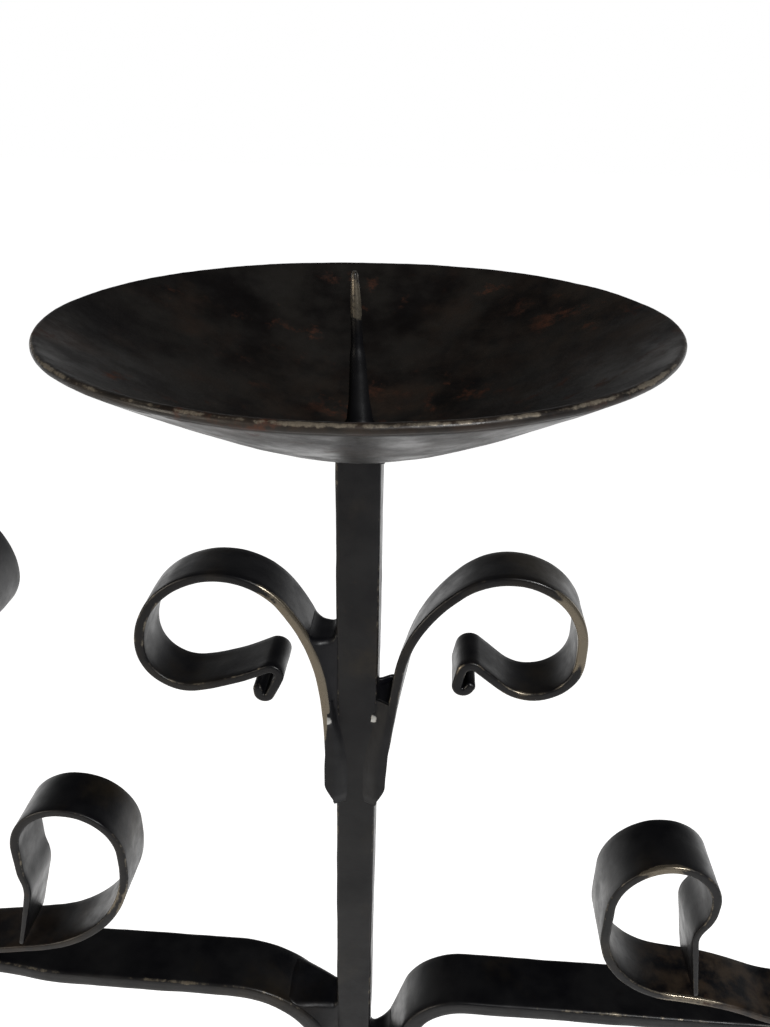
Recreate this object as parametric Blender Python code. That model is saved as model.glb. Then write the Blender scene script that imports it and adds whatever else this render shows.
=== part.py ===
"""Tabletop candelabra of forged flat strip: three pricket lights on arms, on two crossed bows.

Metres, +Z up. The origin is on the table below the centre stem. The arms run along X and the front is -Y.
"""
import math

import bmesh
import bpy
from mathutils import Vector

MM = 0.001

# Driving dimensions ------------------------------------------------------------------------------
GAP = 0.3 * MM                 # room left between two pieces that touch

RIM_Z = 392.0 * MM             # height of the centre pan's rim
LIGHT_X = 140.0 * MM           # centre stem to side stem
SIDE_RAISE = 9.0 * MM          # the side lights stand this much higher
ARM_TOP_Z = RIM_Z - 187.5 * MM

STEM = 9.5 * MM                # square bar
STEM_BEVEL = 0.6 * MM

PAN_R = 60.0 * MM
PAN_DEPTH = 25.5 * MM          # rim to the underside of the flat floor
PAN_SHEET = 2.0 * MM
PAN_RIM_EDGE = 1.8 * MM        # height of the cut edge at the rim
PAN_RIM_INSET = 0.8 * MM       # rim's top corner in from its outside
PAN_FLOOR_R = 9.0 * MM         # flat middle, underneath
PAN_FLOOR_GROWS = 0.8 * MM     # the flat is this much wider on top
PAN_EDGE_ROUND = (0.1 * MM, 0.5 * MM)    # in and down, where the rim's outer edge is rounded
PAN_CURVE = 1.3                # 1 is a plain cone, more is a rounder dish
PAN_SIDES = 44
PAN_RINGS = 6

SEAT_R = 4.1 * MM              # sunk ring in the pan's floor that takes the spike's shoulder
SEAT_DEPTH = 0.6 * MM

SPIKE_TIP_UP = 9.0 * MM        # tip above the rim
SPIKE_SHOULDER_R = 3.6 * MM
SPIKE_NECK_R = 2.5 * MM        # above the shoulder
SPIKE_MIDDLE_R = 1.9 * MM
SPIKE_SLIM_R = 1.4 * MM
SPIKE_POINT_R = 0.35 * MM
SPIKE_SHOULDER_UP = 1.0 * MM   # heights above the pan's floor
SPIKE_NECK_UP = 3.0 * MM
SPIKE_MIDDLE_UP = 8.0 * MM
SPIKE_SLIM_UP = 18.0 * MM
SPIKE_TENON_R = 2.2 * MM
SPIKE_HOLE_R = 2.5 * MM
SPIKE_HOLE_DEPTH = 8.0 * MM
SPIKE_LEAN = {"centre": -1.4 * MM, "left": 0.8 * MM, "right": -0.6 * MM}

SCROLL_W = 12.7 * MM
SCROLL_T = 2.2 * MM
SCROLL_TAIL_DROP = 118.0 * MM  # rim down to the lower end of a scroll's tail
SCROLL_TAIL_THIN = 6.0 * MM    # length bevelled down onto the stem
SCROLL_TAIL_END = 0.4 * MM     # thickness left at its lower end
SCROLL_WELD_W = 9.0 * MM
SCROLL_BEAD_LENGTH = 22.0 * MM
SCROLL_BEAD_LEG = 1.5 * MM
SCROLL_WELD_TOP_DROP = {"left": 72.0 * MM, "right": 88.5 * MM}
SCROLL_TWIST = {"tight": 9.0, "open": 0.0, "wide": 0.0, "small": 5.0}    # degrees, in the leg
SCROLL_TWIST_MIDDLE = 45.0 * MM
SCROLL_TWIST_REACH = 40.0 * MM

ARM_W = 15.9 * MM
ARM_T = 4.76 * MM
ARM_END_ROLL_R = 8.0 * MM
ARM_TAIL_THIN = 8.0 * MM       # lengths drawn down to half thickness
ARM_TIP_THIN = 14.0 * MM
ARM_WELD_W = 12.0 * MM
ARM_WELD_TOP_DROP = {"left": 199.0 * MM, "right": 217.0 * MM}
ARM_BEAD_LEG = 2.8 * MM
ARM_BEAD_LENGTH = 19.0 * MM
BEAD_START = 1.0 * MM          # a bead starts this far above a strip's lower end
LEFT_ARM_RISE_ANGLE = 12.8      # degrees, up and level again
LEFT_ARM_RISE_R = 60.0 * MM
LEFT_ARM_RISE_X = 80.0 * MM    # where it starts

ARM_SCROLL_W = {"left": 14.2 * MM, "right": 16.2 * MM}
ARM_SCROLL_T = 2.4 * MM
ARM_SCROLL_TIP_THIN = 35.0 * MM
ARM_SCROLL_TAIL_X = 121.0 * MM

BOW_CROWN_Z = 46.0 * MM        # top of the lower bow where the bows cross
BOW_FLAT_HALF = 14.0 * MM
BOW_LEG_SLOPE = 60.0           # degrees
BOW_SHOULDER_R = 30.0 * MM
BOW_ANKLE_R = 25.0 * MM
BOW_SOLE = 14.0 * MM
BOW_TOE_R = 9.5 * MM
BOW_END_THIN = 12.0 * MM

WEDGE_MIN = 0.5 * MM           # thickness of a wedge weld at its lower end
WEDGE_RINGS = 6
WEDGE_SPARE = 0.1 * MM         # more room beside a strip that winds
PAN_WELD_LEG = 2.6 * MM
CENTRE_FOOT_WELD_LEG = 2.8 * MM
SIDE_FOOT_WELD_LEG = 2.2 * MM
ARM_SCROLL_WELD_LEG = 2.4 * MM
BOW_WELD_LEG = 3.2 * MM
CROSS_BEAD_SHORT = 1.0 * MM    # a bead across a strip is this much shorter than its width

FILLET_LIP = 0.4 * MM          # a fillet's thickness at its two edges
FILLET_HOLLOW = 0.1            # how far its face is dished, as a share of its leg
BEAD_STEPS = 8
BEAD_END_SHARE = 0.55          # a bead's thickness at its ends, as a share of its middle
BEAD_BELLY = 0.62              # how full its face is; 0.5 is flat

STEP_ANGLE = 14.0              # degrees of arc between two stations of a strip
SHARP_ANGLE = 35.0             # edges sharper than this many degrees are shaded as edges


# Materials ---------------------------------------------------------------------------------------
def make_material(name, colour, roughness, metallic):
    material = bpy.data.materials.new(name)
    material.use_nodes = True
    shader = material.node_tree.nodes["Principled BSDF"]
    shader.inputs["Base Color"].default_value = (*colour, 1.0)
    shader.inputs["Roughness"].default_value = roughness
    shader.inputs["Metallic"].default_value = metallic
    material.diffuse_color = (*colour, 1.0)
    return material


# Building blocks ---------------------------------------------------------------------------------
def loft(name, loops, material, ring=False):
    """One closed solid through equal loops of points. A ring joins its last loop to its first."""
    mesh = bpy.data.meshes.new(name)
    build = bmesh.new()
    rows = [[build.verts.new(point) for point in loop] for loop in loops]
    pairs = list(zip(rows, rows[1:]))
    if ring:
        pairs.append((rows[-1], rows[0]))
    for here, there in pairs:
        for i in range(len(here)):
            j = (i + 1) % len(here)
            build.faces.new((here[i], here[j], there[j], there[i]))
    if not ring:
        build.faces.new(rows[0])
        build.faces.new(rows[-1])
    bmesh.ops.recalc_face_normals(build, faces=build.faces)
    build.to_mesh(mesh)
    build.free()
    mesh.shade_smooth()
    mesh.set_sharp_from_angle(angle=math.radians(SHARP_ANGLE))
    mesh.materials.append(material)
    node = bpy.data.objects.new(name, mesh)
    bpy.context.scene.collection.objects.link(node)
    return node


def walk(start, heading, moves):
    """Follow lines and arcs in the XZ plane. Each station is x, z, heading in radians, distance."""
    x, z = start
    angle = math.radians(heading)
    travelled = 0.0
    stations = [(x, z, angle, travelled)]
    for move in moves:
        if move[0] == "line":
            length, turn, steps = move[1], 0.0, 1
        else:
            turn = math.radians(move[2])
            length = move[1] * abs(turn)
            steps = max(2, round(abs(move[2]) / STEP_ANGLE))
        for _ in range(steps):
            chord = length / steps
            if turn:
                half = turn / steps / 2.0
                chord *= math.sin(abs(half)) / abs(half)
            middle = angle + turn / steps / 2.0
            x += chord * math.cos(middle)
            z += chord * math.sin(middle)
            angle += turn / steps
            travelled += length / steps
            stations.append((x, z, angle, travelled))
    return stations


def wind_at(twist, travelled):
    """How far a strip is wound about its own length, in radians, at a distance along it."""
    away = min(1.0, abs(travelled - SCROLL_TWIST_MIDDLE) / SCROLL_TWIST_REACH)
    return math.radians(twist) * (0.5 + 0.5 * math.cos(math.pi * away))


def strip(name, stations, width, thick, material, place=(0.0, 0.0, 0.0), side=1.0,
          turn=0.0, thin_tail=0.0, thin_tip=0.0, twist=0.0, bevel=0.0, bevel_end=0.0):
    """A flat strip bent along its stations; its width is square to their plane.

    side -1 mirrors it in X, turn swings it about Z, thin_tail and thin_tip are the lengths
    over which its ends are drawn down to half the thickness, and twist is the most, in degrees,
    that a scroll's leg is wound about its own length. bevel is the length of tail cut away on the
    outside of the bend, down to bevel_end.
    """
    total = stations[-1][3]
    loops = []
    for x, z, angle, travelled in stations:
        half = thick / 2.0
        if travelled < thin_tail:
            half *= 0.5 + 0.5 * travelled / thin_tail
        if total - travelled < thin_tip:
            half *= 0.5 + 0.5 * (total - travelled) / thin_tip
        outside = -half
        if travelled < bevel:
            outside = half - bevel_end - (thick - bevel_end) * travelled / bevel
        nx, nz = -math.sin(angle), math.cos(angle)
        wind = wind_at(twist, travelled)
        corners = ((half, -1), (half, 1), (outside, 1), (outside, -1))
        loop = []
        for across, edge in corners:
            offset = across * math.cos(wind) - edge * width / 2.0 * math.sin(wind)
            u = side * (x + offset * nx)
            v = edge * width / 2.0 * math.cos(wind) + across * math.sin(wind)
            point = Vector((u * math.cos(turn) - v * math.sin(turn),
                            u * math.sin(turn) + v * math.cos(turn), z + offset * nz))
            loop.append(point + Vector(place))
        loops.append(loop)
    return loft(name, loops, material)


def square_loop(half, z, centre_x, points_per_side):
    """Points round a square, starting at a corner."""
    loop = []
    corners = ((1, 1), (-1, 1), (-1, -1), (1, -1))
    for (ax, ay), (bx, by) in zip(corners, corners[1:] + corners[:1]):
        for i in range(points_per_side):
            t = i / points_per_side
            loop.append((centre_x + half * (ax + (bx - ax) * t), half * (ay + (by - ay) * t), z))
    return loop


def round_loop(radius, z, centre_x, points):
    """Points round a circle, in step with square_loop."""
    return [(centre_x + radius * math.cos(math.radians(45.0) + 2.0 * math.pi * i / points),
             radius * math.sin(math.radians(45.0) + 2.0 * math.pi * i / points), z)
            for i in range(points)]


def square_fillet(name, half, z_face, leg, direction, centre_x, material, points_per_side=6):
    """A weld fillet round a square bar where it meets a flat face at z_face.

    direction -1 hangs below the face, +1 stands on it.
    """
    inner = half + GAP
    near = z_face + direction * GAP
    far = z_face + direction * leg
    count = 4 * points_per_side
    loops = []
    for i in range(count):
        at_face = Vector(square_loop(inner, near, centre_x, points_per_side)[i])
        at_bar = Vector(square_loop(inner, far, centre_x, points_per_side)[i])
        outward = Vector((at_face.x - centre_x, at_face.y, 0.0)).normalized()
        outer = at_face + outward * leg
        hollow = (at_bar + outer) / 2.0 - Vector((outward.x, outward.y, direction)) * leg * FILLET_HOLLOW
        at_bar_outer = at_bar + outward * FILLET_LIP
        loops.append([at_face, outer, outer + Vector((0, 0, direction * FILLET_LIP)), hollow,
                      at_bar_outer, at_bar])
    return loft(name, loops, material, ring=True)


def bead_leg(leg, share):
    """How thick a bead is at a share of its length."""
    return leg * (BEAD_END_SHARE + (1.0 - BEAD_END_SHARE) * math.sin(math.pi * share) ** 0.5)


def corner_bead(name, corner, directions, leg, low, high, material):
    """A weld bead up an inside corner at x, y, filling it towards the two directions."""
    x, y = corner
    dx, dy = directions
    loops = []
    for i in range(BEAD_STEPS + 1):
        t = i / BEAD_STEPS
        swell = bead_leg(leg, t)
        belly = swell * BEAD_BELLY
        z = low + (high - low) * t
        loops.append([(x, y, z), (x + dx * swell, y, z),
                      (x + dx * belly, y + dy * belly, z), (x, y + dy * swell, z)])
    return loft(name, loops, material)


def cross_bead(name, side, x, z, leg, length, material):
    """A weld bead along Y in the corner between a floor at z and a wall at x, facing away from X = 0."""
    loops = []
    for i in range(BEAD_STEPS + 1):
        t = i / BEAD_STEPS
        swell = bead_leg(leg, t)
        belly = swell * BEAD_BELLY
        y = (t - 0.5) * length
        loops.append([(side * x, y, z), (side * (x + swell), y, z),
                      (side * (x + belly), y, z + belly), (side * x, y, z + swell)])
    return loft(name, loops, material)


# Sub-parts of one light --------------------------------------------------------------------------
def pan_outer_z(radius):
    """Height of the pan's underside at a radius, measured from the rim."""
    share = max(0.0, radius - PAN_FLOOR_R) / (PAN_R - PAN_FLOOR_R)
    return -PAN_DEPTH + (PAN_DEPTH - PAN_RIM_EDGE) * share ** PAN_CURVE


def pan_profile():
    """Closed outline of the pan's sheet as radius, height from the rim."""
    floor_top = -PAN_DEPTH + PAN_SHEET
    inner_floor_r = PAN_FLOOR_R + PAN_FLOOR_GROWS
    inner_rim_r = PAN_R - PAN_RIM_INSET
    under = [(SPIKE_HOLE_R, -PAN_DEPTH), (PAN_FLOOR_R, -PAN_DEPTH)]
    for i in range(1, PAN_RINGS + 1):
        radius = PAN_FLOOR_R + (PAN_R - PAN_FLOOR_R) * i / PAN_RINGS
        under.append((radius, pan_outer_z(radius)))
    over = [(PAN_R - PAN_EDGE_ROUND[0], -PAN_EDGE_ROUND[1]), (inner_rim_r, 0.0)]
    for i in range(PAN_RINGS - 1, 0, -1):
        share = i / PAN_RINGS
        radius = inner_floor_r + (inner_rim_r - inner_floor_r) * share
        over.append((radius, floor_top * (1.0 - share ** PAN_CURVE)))
    over += [(inner_floor_r, floor_top), (SEAT_R, floor_top),
             (SEAT_R, floor_top - SEAT_DEPTH), (SPIKE_HOLE_R, floor_top - SEAT_DEPTH)]
    return under + over


def make_pan(name, centre_x, rim, material):
    loops = []
    for i in range(PAN_SIDES):
        turn = 2.0 * math.pi * i / PAN_SIDES
        loops.append([(centre_x + r * math.cos(turn), r * math.sin(turn), rim + z)
                      for r, z in pan_profile()])
    return loft(name, loops, material, ring=True)


def make_spike(name, centre_x, rim, lean, material):
    """Tapered pricket with a shoulder sunk in the pan's floor and a tenon down into the stem.

    lean is how far the tip stands to the side of the base.
    """
    floor = rim - PAN_DEPTH + PAN_SHEET
    seat = floor - SEAT_DEPTH + GAP
    tenon_end = rim - PAN_DEPTH - SPIKE_HOLE_DEPTH + 2.0 * GAP
    tip = rim + SPIKE_TIP_UP
    outline = [(SPIKE_TENON_R - GAP, tenon_end), (SPIKE_TENON_R, tenon_end + 2.0 * GAP),
               (SPIKE_TENON_R, seat), (SPIKE_SHOULDER_R, seat), (SPIKE_SHOULDER_R, floor + SPIKE_SHOULDER_UP),
               (SPIKE_NECK_R, floor + SPIKE_NECK_UP), (SPIKE_MIDDLE_R, floor + SPIKE_MIDDLE_UP),
               (SPIKE_SLIM_R, floor + SPIKE_SLIM_UP), (SPIKE_POINT_R, tip)]
    loops = []
    for radius, z in outline:
        share = max(0.0, z - floor) / (tip - floor)
        loops.append(round_loop(radius, z, centre_x + lean * share, 16))
    return loft(name, loops, material)


def make_stem(name, centre_x, low, rim, material):
    """Square bar from low to just under the pan, with a blind hole in its top for the spike."""
    half = STEM / 2.0
    top = rim - PAN_DEPTH - GAP
    hole_end = rim - PAN_DEPTH - SPIKE_HOLE_DEPTH
    loops = [square_loop(half - STEM_BEVEL, low, centre_x, 4),
             square_loop(half, low + STEM_BEVEL, centre_x, 4),
             square_loop(half, top - STEM_BEVEL, centre_x, 4),
             square_loop(half - STEM_BEVEL, top, centre_x, 4),
             round_loop(SPIKE_HOLE_R, top, centre_x, 16),
             round_loop(SPIKE_HOLE_R, hole_end, centre_x, 16)]
    return loft(name, loops, material)


def tail_x():
    """Middle of a scroll's strip where it lies against the stem."""
    return STEM / 2.0 + GAP + SCROLL_T / 2.0


def scroll_moves(kind):
    """Lines and arcs of an upper scroll, from its tail on the stem to its rolled tip.

    Each entry is a line's length, or an arc's radius and its turn in degrees, left turns positive.
    """
    shapes = {
        "tight": (4.0, (80.0, -9.0), 22.0, (36.0, -38.0), 1.5, (16.1, -133.0), 3.2, (10.3, -129.0), 7.4,
                  (2.2, 118.0), 3.6, (1.4, 160.0), 1.0),
        "open": (13.0, (150.0, -8.0), (45.0, -29.0), (17.5, -53.0), (19.2, -90.0), (10.5, -102.0),
                 (60.0, -14.0), 2.7, (2.0, 141.0), 5.0, (1.4, 150.0), 1.2),
        "wide": (5.0, (77.0, -43.0), (18.1, -137.0), (11.5, -125.0), 12.0,
                 (2.2, 125.0), 4.5, (1.4, 150.0), 1.2),
        "small": (24.0, (52.0, -34.0), (15.0, -146.0), 1.0, (9.5, -125.0), 6.0,
                  (2.2, 125.0), 3.5, (1.4, 150.0), 1.2),
    }
    return [("arc", part[0] * MM, part[1]) if isinstance(part, tuple) else ("line", part * MM)
            for part in shapes[kind]]


def wedge_weld(name, stations, thick, twist, centre_x, side, top, width, material):
    """The weld that fills the wedge between a stem and a strip whose tail goes up its side."""
    reach = thick / 2.0 + GAP
    outline = [(z + reach * math.cos(angle), x - reach * math.sin(angle),
                math.tan(wind_at(twist, travelled))) for x, z, angle, travelled in stations]

    def strip_face(height):
        """The strip's near face there: its x at Y = 0, and how much x grows with y."""
        for (z0, x0, lean0), (z1, x1, lean1) in zip(outline, outline[1:]):
            if z0 <= height <= z1:
                share = (height - z0) / (z1 - z0)
                return x0 + (x1 - x0) * share, lean0 + (lean1 - lean0) * share
        return 0.0, 0.0

    stem_face_x = STEM / 2.0 + GAP
    half = width / 2.0
    low = stations[0][1]
    while strip_face(low)[0] - half * strip_face(low)[1] - stem_face_x < WEDGE_MIN:
        low += 1.0 * MM
    loops = []
    for i in range(WEDGE_RINGS + 1):
        z = low + (top - low) * i / WEDGE_RINGS
        face_x, lean = strip_face(z)
        near = centre_x + side * stem_face_x
        front = centre_x + side * (face_x - half * lean - WEDGE_SPARE)
        back = centre_x + side * (face_x + half * lean - WEDGE_SPARE)
        loops.append([(near, -half, z), (front, -half, z), (back, half, z), (near, half, z)])
    loft(name, loops, material)


def make_scroll(name, centre_x, rim, side, kind, weld_top_drop, materials):
    """A scroll on one side of a stem, with the weld that fills the wedge between them."""
    stations = walk((tail_x(), rim - SCROLL_TAIL_DROP), 90.0, scroll_moves(kind))
    strip(name, stations, SCROLL_W, SCROLL_T, materials["iron"], place=(centre_x, 0.0, 0.0), side=side,
          twist=SCROLL_TWIST[kind], bevel=SCROLL_TAIL_THIN, bevel_end=SCROLL_TAIL_END)
    wedge_weld(f"{name}_weld", stations, SCROLL_T, SCROLL_TWIST[kind], centre_x, side,
               rim - weld_top_drop, SCROLL_WELD_W, materials["weld"])


def make_light(light, centre_x, stem_low, materials):
    iron, dish, weld = materials["iron"], materials["dish"], materials["weld"]
    rim = RIM_Z if light == "centre" else RIM_Z + SIDE_RAISE
    make_stem(f"{light}_stem", centre_x, stem_low, rim, iron)
    make_pan(f"{light}_pan", centre_x, rim, dish)
    make_spike(f"{light}_spike", centre_x, rim, SPIKE_LEAN[light], iron)
    square_fillet(f"{light}_pan_weld", STEM / 2.0, rim - PAN_DEPTH, PAN_WELD_LEG, -1.0, centre_x, weld)
    kinds = {"centre": ("open", "tight"), "left": ("tight", "wide"), "right": ("small", "open")}[light]
    for word, side, kind in (("left", -1.0, kinds[0]), ("right", 1.0, kinds[1])):
        name = f"{light}_scroll_{word}"
        make_scroll(name, centre_x, rim, side, kind, SCROLL_WELD_TOP_DROP[word], materials)
        bead_low = rim - SCROLL_TAIL_DROP + BEAD_START
        for face, out in (("front", -1.0), ("back", 1.0)):
            corner = (centre_x + side * STEM / 2.0, out * (STEM / 2.0 + GAP))
            corner_bead(f"{name}_bead_{face}", corner, (-side, out), SCROLL_BEAD_LEG,
                        bead_low, bead_low + SCROLL_BEAD_LENGTH, weld)


# Arms --------------------------------------------------------------------------------------------
def arm_root_moves(word):
    """The tail up the stem's side and the bend to level."""
    return {"left": [("line", 43.0 * MM), ("arc", 27.7 * MM, -90.0)],
            "right": [("line", 21.0 * MM), ("arc", 60.0 * MM, -17.0), ("line", 22.6 * MM),
                      ("arc", 16.0 * MM, -73.0)]}[word]


def left_arm_rise():
    return 2.0 * LEFT_ARM_RISE_R * (1.0 - math.cos(math.radians(LEFT_ARM_RISE_ANGLE)))


def make_arm(word, side, materials):
    """The arm's strip and its welds to the centre stem."""
    start_x = STEM / 2.0 + GAP + ARM_T / 2.0
    root = walk((start_x, 0.0), 90.0, arm_root_moves(word))
    tail_low = ARM_TOP_Z - ARM_T / 2.0 - root[-1][1]
    run = LIGHT_X + STEM - root[-1][0]
    outer = [("line", run)]
    if word == "left":
        rise_run = 2.0 * LEFT_ARM_RISE_R * math.sin(math.radians(LEFT_ARM_RISE_ANGLE))
        before = LEFT_ARM_RISE_X - root[-1][0]
        outer = [("line", before), ("arc", LEFT_ARM_RISE_R, LEFT_ARM_RISE_ANGLE),
                 ("arc", LEFT_ARM_RISE_R, -LEFT_ARM_RISE_ANGLE), ("line", run - before - rise_run)]
    moves = arm_root_moves(word) + outer + [("arc", ARM_END_ROLL_R, -150.0)]
    stations = walk((start_x, tail_low), 90.0, moves)
    strip(f"{word}_arm", stations, ARM_W, ARM_T, materials["iron"], side=side,
          thin_tail=ARM_TAIL_THIN, thin_tip=ARM_TIP_THIN)
    wedge_weld(f"{word}_arm_weld", stations, ARM_T, 0.0, 0.0, side,
               RIM_Z - ARM_WELD_TOP_DROP[word], ARM_WELD_W, materials["weld"])
    for face, out in (("front", -1.0), ("back", 1.0)):
        corner = (side * STEM / 2.0, out * (STEM / 2.0 + GAP))
        corner_bead(f"{word}_arm_weld_{face}", corner, (-side, out), ARM_BEAD_LEG,
                    tail_low + BEAD_START, tail_low + BEAD_START + ARM_BEAD_LENGTH, materials["weld"])


def arm_scroll_moves(word):
    """From the tail on the arm, in towards the stem, up, over and down to a lip on the strip."""
    shapes = {
        "right": ((30.0, -20.0), 4.0, (60.0, 14.0), 6.7, (22.6, -84.0), 8.9, (16.0, -65.0),
                  (11.7, -115.0), 2.0, (12.0, -30.0), (9.0, 40.0), 19.5),
        "left": (6.0, (60.0, -11.0), 15.2, (34.5, -79.0), 3.5, (14.2, -180.0), 7.5,
                 (14.0, -14.0), (14.0, 28.0), 18.5),
    }
    return [("arc", part[0] * MM, part[1]) if isinstance(part, tuple) else ("line", part * MM)
            for part in shapes[word]]


def make_arm_scroll(word, side, arm_top, materials):
    width = ARM_SCROLL_W[word]
    start = (ARM_SCROLL_TAIL_X, arm_top + GAP + ARM_SCROLL_T / 2.0)
    stations = walk(start, 180.0, arm_scroll_moves(word))
    strip(f"{word}_arm_scroll", stations, width, ARM_SCROLL_T, materials["iron"], side=side,
          thin_tip=ARM_SCROLL_TIP_THIN)
    cross_bead(f"{word}_arm_scroll_weld", side, ARM_SCROLL_TAIL_X + GAP, arm_top + GAP, ARM_SCROLL_WELD_LEG,
               width - CROSS_BEAD_SHORT, materials["weld"])


# Base --------------------------------------------------------------------------------------------
def half_bow_moves(crown):
    """Half of a bow from its middle: crown flat, shoulder, leg, ankle, sole and rolled toe."""
    slope = math.radians(BOW_LEG_SLOPE)
    arcs = (BOW_SHOULDER_R + BOW_ANKLE_R) * (1.0 - math.cos(slope))
    leg = (crown - ARM_T / 2.0 - arcs) / math.sin(slope)
    return [("line", BOW_FLAT_HALF), ("arc", BOW_SHOULDER_R, -BOW_LEG_SLOPE), ("line", leg),
            ("arc", BOW_ANKLE_R, BOW_LEG_SLOPE), ("line", BOW_SOLE), ("arc", BOW_TOE_R, 215.0)]


def make_bow(name, crown, turn, iron):
    """One strip with a foot at each end; crown is the height of its middle line."""
    half = walk((0.0, crown), 0.0, half_bow_moves(crown))
    length = half[-1][3]
    other = [(-x, z, -angle, length - travelled) for x, z, angle, travelled in reversed(half)]
    stations = other + [(x, z, angle, length + travelled) for x, z, angle, travelled in half[1:]]
    strip(name, stations, ARM_W, ARM_T, iron, turn=turn, thin_tail=BOW_END_THIN, thin_tip=BOW_END_THIN)


def make_base(materials):
    iron, weld = materials["iron"], materials["weld"]
    make_bow("lower_bow", BOW_CROWN_Z - ARM_T / 2.0, 0.0, iron)
    make_bow("upper_bow", BOW_CROWN_Z + GAP + ARM_T / 2.0, math.radians(90.0), iron)
    stem_foot = BOW_CROWN_Z + 2.0 * GAP + ARM_T
    square_fillet("centre_stem_foot_weld", STEM / 2.0, stem_foot - GAP, CENTRE_FOOT_WELD_LEG, 1.0, 0.0, weld)
    for word, side in (("left", -1.0), ("right", 1.0)):
        cross_bead(f"bow_weld_{word}", side, ARM_W / 2.0 + GAP, BOW_CROWN_Z + GAP, BOW_WELD_LEG,
                   ARM_W - CROSS_BEAD_SHORT, weld)
    return stem_foot


def build():
    for item in list(bpy.data.objects):
        bpy.data.objects.remove(item, do_unlink=True)
    materials = {"iron": make_material("black_iron", (0.028, 0.028, 0.030), 0.42, 0.75),
                 "dish": make_material("dish_iron", (0.035, 0.031, 0.028), 0.50, 0.70),
                 "weld": make_material("weld_bead", (0.040, 0.036, 0.034), 0.38, 0.80)}
    stem_foot = make_base(materials)
    make_light("centre", 0.0, stem_foot, materials)
    for word, side in (("left", -1.0), ("right", 1.0)):
        arm_top = ARM_TOP_Z + (left_arm_rise() if word == "left" else 0.0)
        make_arm(word, side, materials)
        make_arm_scroll(word, side, arm_top, materials)
        make_light(word, side * LIGHT_X, arm_top + GAP, materials)
        square_fillet(f"{word}_stem_foot_weld", STEM / 2.0, arm_top, SIDE_FOOT_WELD_LEG, 1.0, side * LIGHT_X,
                      materials["weld"])


build()
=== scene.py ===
"""Looks for the forged iron candelabra: hammered strip and bar, lumpy welds and worn black wax.

The shapes follow the CAD frame: each light's place comes from its own stem and pan, and the bends of
the strips repeat the design's lines and arcs.
"""

import math

import bmesh
import bpy
from mathutils import Matrix, Vector, noise


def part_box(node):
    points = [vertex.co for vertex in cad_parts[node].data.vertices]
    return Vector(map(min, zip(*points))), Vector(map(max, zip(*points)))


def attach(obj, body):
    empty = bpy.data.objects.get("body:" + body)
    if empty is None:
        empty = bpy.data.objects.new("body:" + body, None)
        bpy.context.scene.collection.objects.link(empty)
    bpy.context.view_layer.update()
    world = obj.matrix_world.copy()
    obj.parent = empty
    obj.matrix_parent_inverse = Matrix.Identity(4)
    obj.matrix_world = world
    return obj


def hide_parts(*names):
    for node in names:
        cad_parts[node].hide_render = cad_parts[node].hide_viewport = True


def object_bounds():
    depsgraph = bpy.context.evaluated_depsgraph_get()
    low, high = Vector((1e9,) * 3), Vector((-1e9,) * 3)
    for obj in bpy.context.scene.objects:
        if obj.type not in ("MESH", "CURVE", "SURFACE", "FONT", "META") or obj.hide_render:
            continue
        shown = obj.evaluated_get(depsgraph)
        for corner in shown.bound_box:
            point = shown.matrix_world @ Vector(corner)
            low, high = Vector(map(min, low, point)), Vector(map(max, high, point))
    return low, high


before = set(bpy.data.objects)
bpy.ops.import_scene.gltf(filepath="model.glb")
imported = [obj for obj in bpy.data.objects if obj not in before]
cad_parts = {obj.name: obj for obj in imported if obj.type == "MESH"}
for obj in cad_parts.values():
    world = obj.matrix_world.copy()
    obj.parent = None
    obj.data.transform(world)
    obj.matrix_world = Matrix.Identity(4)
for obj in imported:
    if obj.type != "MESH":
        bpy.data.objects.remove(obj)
cad_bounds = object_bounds()

MM = 0.001
GAP = 0.3 * MM                  # room that the CAD leaves between touching pieces
ROOT = "root"

STEP = 1.0 * MM                 # length of one ring of a forged piece
FINE_STEP = 0.35 * MM           # the same in tight curls
TIGHT_R = 4.0 * MM              # an arc below this radius is a tight curl
CORNER_R = 0.55 * MM            # rounded edge of thin strip
BAR_CORNER_R = 0.8 * MM         # rounded edge of square bar and of thick strip
THICK_STRIP = 4.0 * MM          # from here on a strip counts as thick

# Unevenness from hammering, each as how deep and how far apart
HAMMER_MARKS = ((0.11, 12.0 * MM), (0.06, 4.5 * MM), (0.02, 1.8 * MM))    # depths in mm
STRIP_WIDE_WAVE = (0.010, 22.0 * MM)        # share of the width
STRIP_THICK_WAVE = (0.05, 12.0 * MM)        # share of the thickness
BAR_THICK_WAVE = (0.018, 18.0 * MM)         # share of the thickness
BAR_SWAY = (0.25 * MM, 60.0 * MM)
MARK_STRETCH = 1.3              # marks are this much closer together across a strip than along it

# How worn each part of a rounded edge is, 0 to 1
CORNER_WEAR = 0.75
CORNER_WEAR_RISE = 0.25
NARROW_FACE_WEAR = 0.6
BAR_WEAR_LEAST = 0.7            # a bar keeps only wear above this, so only at its corners
FRONT_EDGE = 1.6 * MM           # painted highlights reach this far in from a strip's front edge
# how the painted highlights on a front edge fade towards their ends
GLINT_FADE = 0.6

# Rounded ends of strip and bar
CAP_THICK_SHARE = 0.45
CAP_LONGEST = 0.9 * MM
CAP_RINGS = 3
CAP_ANGLE_STEP = 90.0 / 3.4
CAP_NARROWS = 0.8
CAP_HAMMERED = 0.4
BAR_END = 0.8 * MM
BAR_END_RINGS = ((0.0, 0.82), (0.3, 0.93), (1.0, 1.0))      # share of BAR_END in, share of the thickness

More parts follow.
